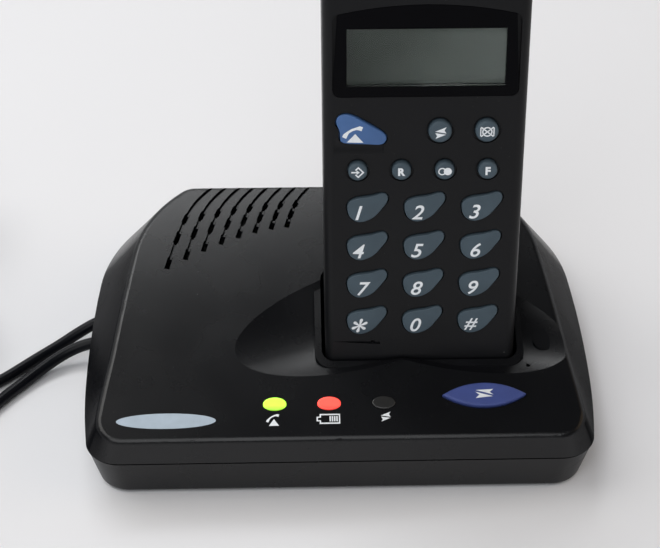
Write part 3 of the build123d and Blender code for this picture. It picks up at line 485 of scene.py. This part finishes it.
def handset_place(x, z, proud, dome=0.0):
    """Function from a mark's own u, v, w in mm to a point on a key, flat or domed, in metres."""

    def place(u, v, w):
        drop = dome - math.sqrt(dome * dome - u * u - v * v) if dome else 0.0
        return handset_point(x + u, drop - proud - MARK_LIFT - w, z + v)

    return place


def outline_mesh(contours, thick):
    """Flat solid from closed outlines in mm. An outline inside another is a hole."""
    data = bpy.data.curves.new("outline", "CURVE")
    data.dimensions = "2D"
    data.fill_mode = "BOTH"
    data.extrude = thick / 2
    for contour in contours:
        spline = data.splines.new("POLY")
        spline.points.add(len(contour) - 1)
        for knot, (u, v) in zip(spline.points, contour):
            knot.co = (u, v, 0.0, 1.0)
        spline.use_cyclic_u = True
    return curve_to_mesh(data)


def curve_to_mesh(data):
    obj = link(bpy.data.objects.new("outline", data))
    bpy.context.view_layer.update()
    mesh = bpy.data.meshes.new_from_object(obj.evaluated_get(bpy.context.evaluated_depsgraph_get()))
    bpy.data.objects.remove(obj)
    return mesh


def text_mesh(text, height, thick, shear=0.28, heavy=0.012):
    """Flat solid letter or figure, centred, of that height in mm."""

    def drawn(extrude):
        data = bpy.data.curves.new("text", "FONT")
        data.body = text
        data.size = 1.0
        data.shear = shear
        data.offset = heavy
        data.extrude = extrude
        return curve_to_mesh(data)

    mesh = drawn(0.0)
    xs = [v.co.x for v in mesh.vertices]
    ys = [v.co.y for v in mesh.vertices]
    scale = height / (max(ys) - min(ys))
    middle = Vector(((max(xs) + min(xs)) / 2, (max(ys) + min(ys)) / 2, 0.0))
    bpy.data.meshes.remove(mesh)
    mesh = drawn(thick / 2 / scale)
    for v in mesh.vertices:
        v.co = (v.co - middle) * scale
    return mesh


LONG_EDGE = 0.8           # mm


def subdivide(mesh):
    """Cuts a flat mesh's long edges, so that it can follow a domed surface."""
    work = bmesh.new()
    work.from_mesh(mesh)
    for _ in range(2):
        long_edges = [edge for edge in work.edges if edge.calc_length() > LONG_EDGE]
        bmesh.ops.subdivide_edges(work, edges=long_edges, cuts=1)
        bmesh.ops.triangulate(work, faces=work.faces[:])
    work.to_mesh(mesh)
    work.free()


def printed(name, mesh, place, body, material):
    """Puts a flat mesh drawn in mm on a surface and lets it ride with a body."""
    for v in mesh.vertices:
        v.co = place(*v.co)
    mesh.materials.clear()
    mesh.materials.append(material)
    mesh.name = name
    obj = link(bpy.data.objects.new(name, mesh))
    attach(obj, body)
    return obj


def ring(radius, cx=0.0, cy=0.0, steps=28):
    turn = 2 * math.pi / steps
    return [(cx + radius * math.cos(i * turn), cy + radius * math.sin(i * turn)) for i in range(steps)]


def stroke(points, widths):
    """Outline of a thick line with a width at each point."""
    left, right = [], []
    for i, (x, y) in enumerate(points):
        ax, ay = points[max(i - 1, 0)]
        bx, by = points[min(i + 1, len(points) - 1)]
        length = math.hypot(bx - ax, by - ay)
        nx, ny = -(by - ay) / length, (bx - ax) / length
        half = widths[i] / 2
        left.append((x + nx * half, y + ny * half))
        right.append((x - nx * half, y - ny * half))
    return left + right[::-1]


def moved(contour, dx, dy, scale=1.0):
    return [(x * scale + dx, y * scale + dy) for x, y in contour]


MARK_T = 0.03
BADGE_AT = (-47.0, 6.6)
BADGE_HALF = (13.4, 2.3)
DARTS = [
    [(-1.46, 0.42), (1.46, 1.62), (0.95, 0.72), (1.46, -0.12)],
    [(1.37, -0.46), (-1.41, 0.02), (-0.91, -0.84), (-1.34, -1.58)],
]
WIDE_DARTS = [
    [(-2.3, 1.15), (2.43, 1.38), (1.45, 0.5), (2.43, -0.30)],
    [(2.25, -0.80), (-2.47, 0.62), (-1.38, -0.25), (-2.38, -1.30)],
]
RECEIVER = stroke(
    [
        (-1.95, -0.62), (-1.72, -0.05), (-1.2, 0.66), (-0.4, 1.32),
        (0.55, 1.72), (1.2, 1.8), (1.8, 1.62),
    ],
    [0.85, 0.85, 0.5, 0.48, 0.5, 0.85, 0.85],
)
LED_TRIANGLE = [(-1.41, -1.95), (1.85, -1.95), (0.24, 0.42)]
BATTERY_OUTER = [
    (-3.4, -0.75), (-2.5, -0.75), (-2.5, -1.6), (3.45, -1.6),
    (3.45, 1.6), (-2.5, 1.6), (-2.5, 0.75), (-3.4, 0.75),
]
BATTERY_INNER = [
    (-3.0, -0.4), (-2.1, -0.4), (-2.1, -1.2), (3.05, -1.2),
    (3.05, 1.2), (-2.1, 1.2), (-2.1, 0.4), (-3.0, 0.4),
]
BARS = 4
BAR_X = 0.35
BAR_PITCH = 0.66
BAR_WIDTH = 0.4
BAR_HALF = 0.85
# x and y on the deck in mm, and scale
LINE_SIGN = (-18.2, 6.4, 0.84)
BATTERY_SIGN = (-3.4, 6.6, 0.93)
INTERCOM_SIGN = (12.1, 7.0, 0.9)


def print_base_marks():
    """Signs under the lights, the sign on the page button and the plain oval badge."""
    white = PRINT_WHITE.mat

    def sign(name, contours, x, y, scale):
        sized = [moved(contour, 0.0, 0.0, scale) for contour in contours]
        printed(name, outline_mesh(sized, MARK_T), deck_place(x, y), "base", white)

    sign("sign_line", [RECEIVER, LED_TRIANGLE], *LINE_SIGN)
    bars = []
    for i in range(BARS):
        x = BAR_X + BAR_PITCH * i
        end = x + BAR_WIDTH
        bars.append([(x, -BAR_HALF), (end, -BAR_HALF), (end, BAR_HALF), (x, BAR_HALF)])
    sign("sign_battery", [BATTERY_OUTER, BATTERY_INNER] + bars, *BATTERY_SIGN)
    sign("sign_intercom", DARTS, *INTERCOM_SIGN)
    turns = [t * math.pi / 24 for t in range(48)]
    lens = [(BADGE_HALF[0] * math.cos(turn), BADGE_HALF[1] * math.sin(turn)) for turn in turns]
    badge = outline_mesh([lens], 2 * MARK_T)
    printed("badge", badge, deck_place(*BADGE_AT), "base", BADGE.mat)
    on_button = deck_place(*PAGE_AT, lift=PAGE_PROUD)
    printed("sign_page", outline_mesh(WIDE_DARTS, MARK_T), on_button, "page_button", white)


KEY_ROWS = [["1", "2", "3"], ["4", "5", "6"], ["7", "8", "9"], ["star", "0", "hash"]]
KEY_TEXT = {"star": "*", "hash": "#"}
FIGURE_X = -1.9
FIGURE_SHIFT = {
    "2": 0.5, "3": 0.4, "5": 0.5, "6": 1.0, "7": 1.4,
    "8": 0.6, "9": 0.7, "star": 0.3, "0": 0.5, "hash": 0.5,
}
KEY_PITCH_X = 15.07
KEY_PITCH_Z = 11.27
FIGURE_Z = -0.75
FIGURE_HEIGHT = 4.15
FIGURE_HEIGHTS = {"star": 4.3, "hash": 3.7}
TALK_AT = (-16.4, 39.2)
ROUND_KEYS = {
    "flash": (3.9, 39.0),
    "mute": (16.0, 39.0),
    "memory": (-17.3, 28.0),
    "recall": (-5.9, 28.0),
    "redial": (5.4, 28.0),
    "function": (16.6, 28.0),
}
DOT_LIFT = 0.01
TALK_RECEIVER = stroke(
    [
        (-4.45, -1.75), (-4.15, -1.05), (-3.45, -0.15), (-2.45, 0.55),
        (-1.35, 0.95), (-0.5, 1.05), (0.2, 0.8),
    ],
    [1.15, 1.15, 0.66, 0.62, 0.66, 1.15, 1.15],
)
TALK_TRIANGLE = [(-3.76, -3.0), (0.51, -3.0), (-1.62, -0.5)]
MUTE_LINES = [
    ([(-1.6, -1.3), (1.6, 1.3)], 0.34),
    ([(-1.6, 1.3), (1.6, -1.3)], 0.34),
    ([(-1.7, -1.2), (-1.7, 1.2)], 0.3),
    ([(1.7, -1.2), (1.7, 1.2)], 0.3),
]
MEMORY_BRACKET = [
    (-0.75, 0.75), (0.1, 1.6), (1.7, 0.0), (0.1, -1.6), (-0.75, -0.75),
    (-0.5, -0.5), (0.1, -1.05), (1.15, 0.0), (0.1, 1.05), (-0.5, 0.5),
]
MEMORY_ARROW = [
    (-1.7, 0.2), (-0.35, 0.2), (-0.35, 0.62), (0.55, 0.0), (-0.35, -0.62), (-0.35, -0.2), (-1.7, -0.2),
]


def print_figures():
    """Numbers, star and hash, each on its domed key."""
    for row, names in enumerate(KEY_ROWS):
        for column, name in enumerate(names):
            x = (column - 1) * KEY_PITCH_X
            z = (1.5 - row) * KEY_PITCH_Z
            height = FIGURE_HEIGHTS.get(name, FIGURE_HEIGHT)
            mesh = text_mesh(KEY_TEXT.get(name, name), height, MARK_T)
            for v in mesh.vertices:
                v.co.x += FIGURE_X + FIGURE_SHIFT.get(name, 0.0)
                v.co.y += FIGURE_Z
            subdivide(mesh)
            place = handset_place(x, z, KEY_PROUD, KEY_DOME_R)
            printed("figure_" + name, mesh, place, "key_" + name, PRINT_WHITE.mat)


def print_key_signs():
    """Signs on the talk key and on the six round keys."""
    white = PRINT_WHITE.mat
    sign = outline_mesh([TALK_RECEIVER, TALK_TRIANGLE], MARK_T)
    subdivide(sign)
    on_talk_key = handset_place(*TALK_AT, KEY_PROUD, KEY_DOME_R)
    printed("sign_talk", sign, on_talk_key, "talk_key", white)

    def round_mark(name, key, mesh, lift=0.0):
        place = handset_place(*ROUND_KEYS[key], ROUND_PROUD + lift)
        printed(name, mesh, place, key + "_key", white)

    darts = [moved(contour, 0.1, -0.2) for contour in DARTS]
    round_mark("mark_flash", "flash", outline_mesh(darts, MARK_T))
    for i, (points, width) in enumerate(MUTE_LINES):
        line = outline_mesh([stroke(points, [width, width])], MARK_T)
        round_mark("mark_mute_%d" % i, "mute", line)
    round_mark("mark_mute_ring", "mute", outline_mesh([ring(1.35), ring(1.0)], MARK_T))
    round_mark("mark_memory", "memory", outline_mesh([MEMORY_BRACKET, MEMORY_ARROW], MARK_T))
    round_mark("mark_recall", "recall", text_mesh("R", 2.2, MARK_T, shear=0.0, heavy=0.05))
    left_ring = outline_mesh([ring(1.05, -0.75), ring(0.72, -0.75)], MARK_T)
    round_mark("mark_redial", "redial", left_ring)
    dot = outline_mesh([ring(1.05, 0.7)], MARK_T)
    round_mark("mark_redial_dot", "redial", dot, lift=DOT_LIFT)
    round_mark("mark_function", "function", text_mesh("F", 2.3, MARK_T, shear=0.0, heavy=0.05))


print_base_marks()
print_figures()
print_key_signs()


# ---------------------------------------------------------------- display window
WINDOW_HALF = 23.8
WINDOW_LOW = 48.3
WINDOW_SIDE = 70.0
WINDOW_TOP = 72.8
WINDOW_T = 1.2
WINDOW_CORNER_R = 2.0
CORNER_STEPS = 6
ARCH_STEPS = 24
ARCH_MARGIN = 1.2
WINDOW_GAP = 0.02
WINDOW_PROUD = 0.05
PANE_SHARE = 0.999
LCD_HALF = 20.2
LCD_LOW = 51.2
LCD_HIGH = 66.5


def window_outline(inset=0.0):
    """Window's edge: two rounded lower corners, straight sides and an arched top."""
    half = WINDOW_HALF - inset
    low = WINDOW_LOW + inset
    r = WINDOW_CORNER_R
    quarter = [math.pi / 2 * i / CORNER_STEPS for i in range(CORNER_STEPS + 1)]
    points = [(-half, low + r)]
    points += [(-half + r - r * math.cos(a), low + r - r * math.sin(a)) for a in quarter[1:]]
    points += [(half - r + r * math.sin(a), low + r - r * math.cos(a)) for a in quarter]
    rise = WINDOW_TOP - WINDOW_SIDE
    arch_r = (half * half + rise * rise) / (2 * rise)
    top = WINDOW_TOP - inset
    for i in range(ARCH_STEPS + 1):
        x = (half - ARCH_MARGIN) * math.cos(math.pi * i / ARCH_STEPS)
        points.append((x, top - arch_r + math.sqrt(arch_r * arch_r - x * x)))
    return points


def build_window():
    """Black border and, in its opening, the clear pane over the display."""
    lcd = [(-LCD_HALF, LCD_LOW), (LCD_HALF, LCD_LOW), (LCD_HALF, LCD_HIGH), (-LCD_HALF, LCD_HIGH)]

    def place(u, v, w):
        return handset_point(u, WINDOW_T / 2 - WINDOW_PROUD - w, v)

    frame_mesh = outline_mesh([window_outline(WINDOW_GAP), lcd], WINDOW_T - WINDOW_GAP)
    border = printed("window_border", frame_mesh, place, "handset", MATERIALS["window"])
    inside = [(x * PANE_SHARE, y) for x, y in lcd]
    pane_mesh = outline_mesh([inside], WINDOW_T - 2 * WINDOW_GAP)
    pane = printed("window_pane", pane_mesh, place, "handset", CLEAR_PANE)
    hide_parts("display_window")
    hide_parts("display_window")


# Real acrylic has an index of about 1.49. This is lower for the look: the display rendered too light.
CLEAR_PANE = clear_plastic("clear_pane", (0.93, 0.95, 0.94), 0.03, 1.0, ior=1.2)
build_window()


# ---------------------------------------------------------------- floor and light
FLOOR_HALF = 6.0          # metres


def make_floor():
    """Pale square under the object."""
    half = FLOOR_HALF
    corners = [(-half, -half, 0), (half, -half, 0), (half, half, 0), (-half, half, 0)]
    mesh = bpy.data.meshes.new("floor")
    mesh.from_pydata(corners, [], [(0, 1, 2, 3)])
    s = Shader("pale_floor", (0.82, 0.82, 0.84), 0.85, specular=0.1)
    s.vary_color(3.0, 0.012)
    mesh.materials.append(s.mat)
    obj = link(bpy.data.objects.new("floor", mesh))


def make_world():
    """Room light: bright low down, further up at the back, and dim overhead."""
    world = bpy.data.worlds.new("world")
    world.use_nodes = True
    nodes, links = world.node_tree.nodes, world.node_tree.links
    background = nodes["Background"]
    background.inputs["Color"].default_value = (0.97, 0.98, 1.0, 1.0)
    coord = nodes.new("ShaderNodeTexCoord")
    dot = nodes.new("ShaderNodeVectorMath")
    dot.operation = "DOT_PRODUCT"
    dot.inputs[1].default_value = Vector((0.0, -0.3, 1.0)).normalized()
    ramp = nodes.new("ShaderNodeMapRange")
    ramp.interpolation_type = "SMOOTHSTEP"
    ramp.inputs["From Min"].default_value = 0.1
    ramp.inputs["From Max"].default_value = 0.65
    ramp.inputs["To Min"].default_value = 1.05
    ramp.inputs["To Max"].default_value = 0.05
    links.new(coord.outputs["Generated"], dot.inputs[0])
    links.new(dot.outputs["Value"], ramp.inputs["Value"])
    links.new(ramp.outputs["Result"], background.inputs["Strength"])
    bpy.context.scene.world = world


LIGHT_AIM = Vector((0.0, 0.0, 0.03))
LIGHTS = {
    # name: (azimuth, elevation, distance, width, height, watts, colour); azimuth 0 is behind, 90 left
    "left_window": (84.0, 55.0, 1.7, 1.1, 1.1, 10.5, (1.0, 0.985, 0.955)),
    "rear_window": (24.0, 56.0, 1.5, 0.9, 0.4, 6.8, (0.97, 0.985, 1.0)),
    "front_fill": (165.0, 50.0, 1.6, 1.2, 1.2, 10.0, (0.97, 0.985, 1.0)),
    "right_wall": (-95.0, 38.0, 1.6, 1.0, 0.8, 2.2, (1.0, 0.72, 0.45)),
}


def area_light(name, azimuth, elevation, distance, width, height, watts, color):
    """Soft rectangular light aimed at the object."""
    a, e = math.radians(azimuth), math.radians(elevation)
    away = Vector((-math.sin(a) * math.cos(e), math.cos(a) * math.cos(e), math.sin(e)))
    data = bpy.data.lights.new(name, "AREA")
    data.shape = "RECTANGLE"
    data.size = width
    data.size_y = height
    data.energy = watts
    data.color = color
    lamp = link(bpy.data.objects.new(name, data))
    lamp.location = LIGHT_AIM + distance * away
    lamp.rotation_euler = away.to_track_quat("Z", "Y").to_euler()


make_floor()
make_world()
for light_name, light_values in LIGHTS.items():
    area_light(light_name, *light_values)
bpy.context.scene.view_settings.view_transform = "Standard"

bpy.context.view_layer.update()
